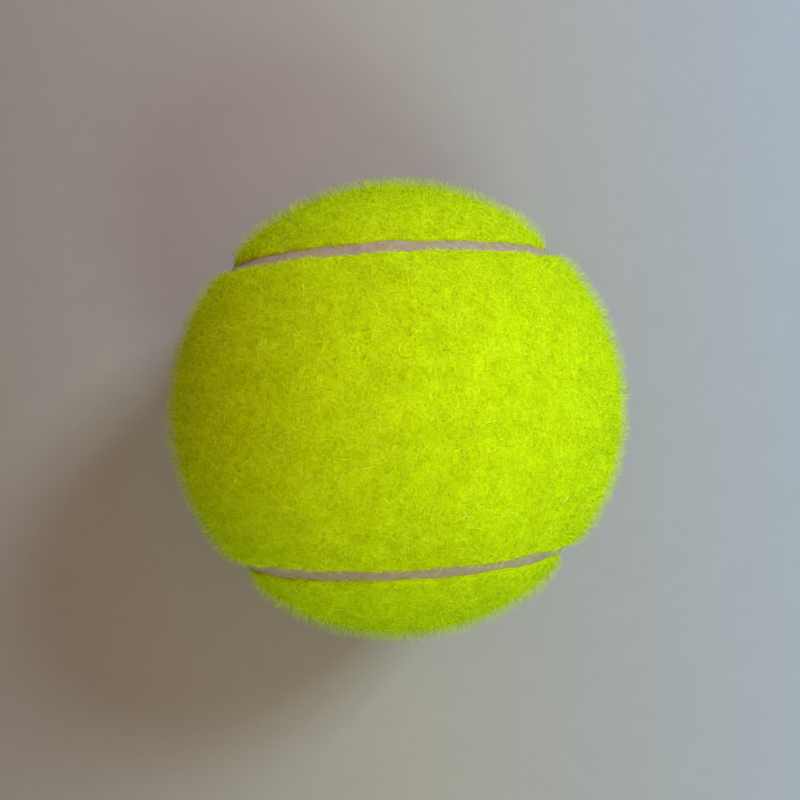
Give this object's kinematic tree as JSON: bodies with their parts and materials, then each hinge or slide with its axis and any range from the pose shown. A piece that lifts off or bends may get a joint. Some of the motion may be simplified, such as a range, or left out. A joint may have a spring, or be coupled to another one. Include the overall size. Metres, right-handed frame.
{
  "type": "tennis ball",
  "caption": "Hollow rubber ball of two cemented half shells, covered by two dumbbell-shaped felt panels with a recessed seam line between them.",
  "frame": {"origin": "centre of the ball", "axes": "+Z out through the middle of the waist of felt panel A, which runs along X; felt panel B has its waist at -Z and runs along Y"},
  "size_m": [0.0666, 0.0666, 0.0666],
  "materials": {
    "core_rubber": "matte moulded",
    "joint_cement": "matte",
    "panel_cement": "satin",
    "felt": "napped",
    "seam_rubber": "matte"
  },
  "bodies": {
    "root": {"core_half_upper": "core_rubber", "core_half_lower": "core_rubber", "core_joint_cement": "joint_cement", "panel_cement_a": "panel_cement", "panel_cement_b": "panel_cement", "felt_panel_a": "felt", "felt_panel_b": "felt", "seam_rubber": "seam_rubber"}
  },
  "joints": []
}
